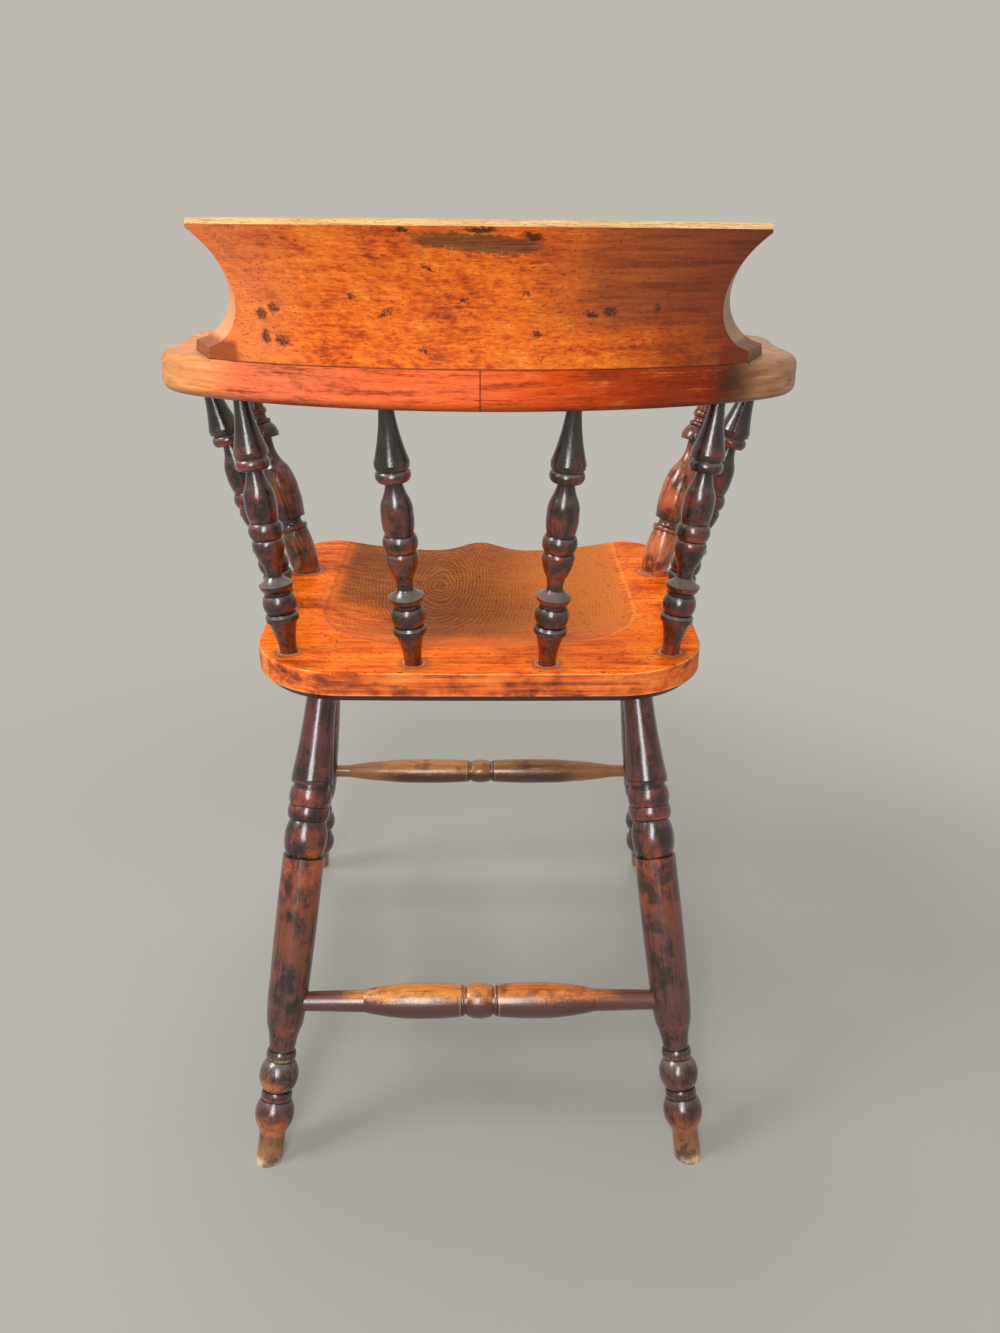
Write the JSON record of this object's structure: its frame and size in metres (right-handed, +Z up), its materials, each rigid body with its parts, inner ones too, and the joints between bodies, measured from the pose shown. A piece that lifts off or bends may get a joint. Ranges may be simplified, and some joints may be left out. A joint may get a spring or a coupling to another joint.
{
  "type": "smoker's bow armchair",
  "caption": "Low-backed Windsor armchair with a dished saddle seat, turned splayed legs and spindles, a horizontal arm bow and a rolled-back crest rail on top of it.",
  "frame": {"origin": "on the floor, midway between the feet, below the middle of the chair", "axes": "+Z up, -Y towards the front of the chair where the sitter's knees are, +X to the sitter's left"},
  "size_m": [0.592, 0.5434, 0.8171],
  "materials": {
    "seat_wood": "worn amber varnish, dished part rubbed to brown with growth rings",
    "turned_wood": "dark brown varnish rubbed to red-brown on the bulges",
    "rail_wood": "brown varnish worn to tan along the top",
    "bow_wood": "glossy orange-amber varnish, worn pale on the edges",
    "peg_wood": "bare wood"
  },
  "bodies": {
    "root": {"seat": "seat_wood", "leg_rear_left": "turned_wood", "leg_rear_right": "turned_wood", "leg_front_left": "turned_wood", "leg_front_right": "turned_wood", "spindle_back_left": "turned_wood", "spindle_back_right": "turned_wood", "spindle_corner_left": "turned_wood", "spindle_corner_right": "turned_wood", "spindle_side_left": "turned_wood", "spindle_side_right": "turned_wood", "arm_post_left": "turned_wood", "arm_post_right": "turned_wood", "stretcher_rear": "rail_wood", "stretcher_front": "rail_wood", "stretcher_left": "rail_wood", "stretcher_right": "rail_wood", "arm_left": "bow_wood", "arm_right": "bow_wood", "crest_rail": "bow_wood", "crest_dowels": "peg_wood", "arm_joint_dowels": "peg_wood"}
  },
  "joints": []
}
